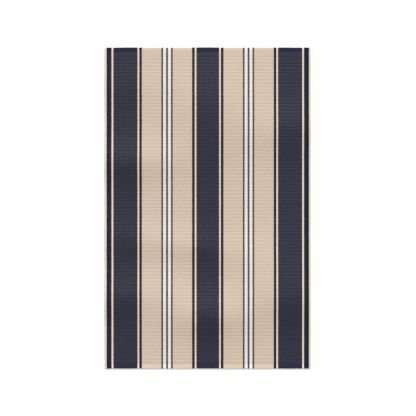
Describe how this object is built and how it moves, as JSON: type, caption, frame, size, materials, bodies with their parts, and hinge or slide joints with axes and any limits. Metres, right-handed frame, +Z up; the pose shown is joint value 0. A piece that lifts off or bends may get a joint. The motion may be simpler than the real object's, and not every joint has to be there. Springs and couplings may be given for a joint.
{
  "type": "golf towel",
  "caption": "Rectangular striped waffle-weave cloth towel with a plain hem turned and lockstitched along every edge, lying flat face up.",
  "frame": {"origin": "middle of the underside, on the surface that the towel lies on", "axes": "+X across the width, +Y along the length, +Z up out of the striped face"},
  "size_m": [0.4064, 0.635, 0.0025],
  "materials": {
    "waffle_cloth": "undyed polyester waffle weave, printed on its face with lengthwise navy, tan and white stripes, low sheen",
    "hem_cloth": "undyed polyester plain weave, printed on its face with the same stripes to the edge, matte",
    "seam_thread": "undyed polyester sewing thread, printed with the cloth where it shows on the face"
  },
  "bodies": {
    "root": {"waffle_field": "waffle_cloth", "top_hem": "hem_cloth", "bottom_hem": "hem_cloth", "left_hem": "hem_cloth", "right_hem": "hem_cloth", "top_needle_thread": "seam_thread", "bottom_needle_thread": "seam_thread", "left_needle_thread": "seam_thread", "right_needle_thread": "seam_thread", "top_bobbin_thread": "seam_thread", "bottom_bobbin_thread": "seam_thread", "left_bobbin_thread": "seam_thread", "right_bobbin_thread": "seam_thread"}
  },
  "joints": []
}
